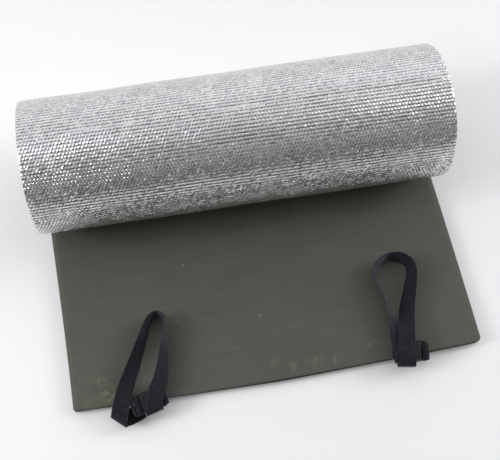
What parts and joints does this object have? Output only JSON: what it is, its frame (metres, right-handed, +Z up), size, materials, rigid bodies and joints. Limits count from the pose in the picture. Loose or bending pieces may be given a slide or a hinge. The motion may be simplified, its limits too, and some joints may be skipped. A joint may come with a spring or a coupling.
{
  "type": "foam sleeping pad",
  "caption": "Foil-backed closed-cell foam sleeping pad, mostly rolled with a free end laid flat, and webbing carrying straps with side-release buckles lying on it.",
  "frame": {"origin": "on the underside, on the pad's centre line and halfway along the stretch that lies flat", "axes": "+X along the roll's axis, -Y towards the free edge, +Z up, away from the ground"},
  "size_m": [0.5, 0.3953, 0.17],
  "materials": {
    "foam": "matte",
    "foil": "satin",
    "webbing": "matte",
    "buckle": "satin"
  },
  "bodies": {
    "roll": {"foam_roll": "foam", "foil_roll": "foil"},
    "free_end": {"foam_end": "foam", "foil_end": "foil"},
    "strap_left": {"webbing_left": "webbing", "webbing_end_left": "webbing", "buckle_female_left": "buckle"},
    "buckle_male_left": {"buckle_male_left": "buckle"},
    "prong_rear_left": {"prong_rear_left": "buckle"},
    "prong_front_left": {"prong_front_left": "buckle"},
    "strap_right": {"webbing_right": "webbing", "webbing_end_right": "webbing", "buckle_female_right": "buckle"},
    "buckle_male_right": {"buckle_male_right": "buckle"},
    "prong_rear_right": {"prong_rear_right": "buckle"},
    "prong_front_right": {"prong_front_right": "buckle"}
  },
  "joints": [
    {"name": "end_lift", "type": "hinge", "parent": "roll", "child": "free_end", "pos_m": [0, 0.023, 0.01], "axis": [-1, 0, 0], "range_deg": [0, 60]},
    {"name": "strap_lift_left", "type": "slide", "parent": "free_end", "child": "strap_left", "axis": [0, 0, 1], "range_m": [0, 0.03]},
    {"name": "buckle_release_left", "type": "slide", "parent": "strap_left", "child": "buckle_male_left", "axis": [-0.9781, -0.2079, 0], "range_m": [0, 0.016], "deforming": ["webbing_end_left", "prong_rear_left", "prong_front_left"]},
    {"name": "prong_squeeze_rear_left", "type": "hinge", "parent": "buckle_male_left", "child": "prong_rear_left", "pos_m": [-0.16073, -0.13864, 0.01755], "axis": [0, 0, -1], "range_deg": [0, 12], "stiffness_Nm_per_rad": 0.02},
    {"name": "prong_squeeze_front_left", "type": "hinge", "parent": "buckle_male_left", "child": "prong_front_left", "pos_m": [-0.15773, -0.15273, 0.01755], "axis": [0, 0, 1], "range_deg": [0, 12], "stiffness_Nm_per_rad": 0.02},
    {"name": "strap_lift_right", "type": "slide", "parent": "free_end", "child": "strap_right", "axis": [0, 0, 1], "range_m": [0, 0.03]},
    {"name": "buckle_release_right", "type": "slide", "parent": "strap_right", "child": "buckle_male_right", "axis": [-0.9848, 0.1736, 0], "range_m": [0, 0.016], "deforming": ["webbing_end_right", "prong_rear_right", "prong_front_right"]},
    {"name": "prong_squeeze_rear_right", "type": "hinge", "parent": "buckle_male_right", "child": "prong_rear_right", "pos_m": [0.1615, -0.13134, 0.02055], "axis": [0, 0, -1], "range_deg": [0, 12], "stiffness_Nm_per_rad": 0.02},
    {"name": "prong_squeeze_front_right", "type": "hinge", "parent": "buckle_male_right", "child": "prong_front_right", "pos_m": [0.159, -0.14552, 0.02055], "axis": [0, 0, 1], "range_deg": [0, 12], "stiffness_Nm_per_rad": 0.02}
  ]
}
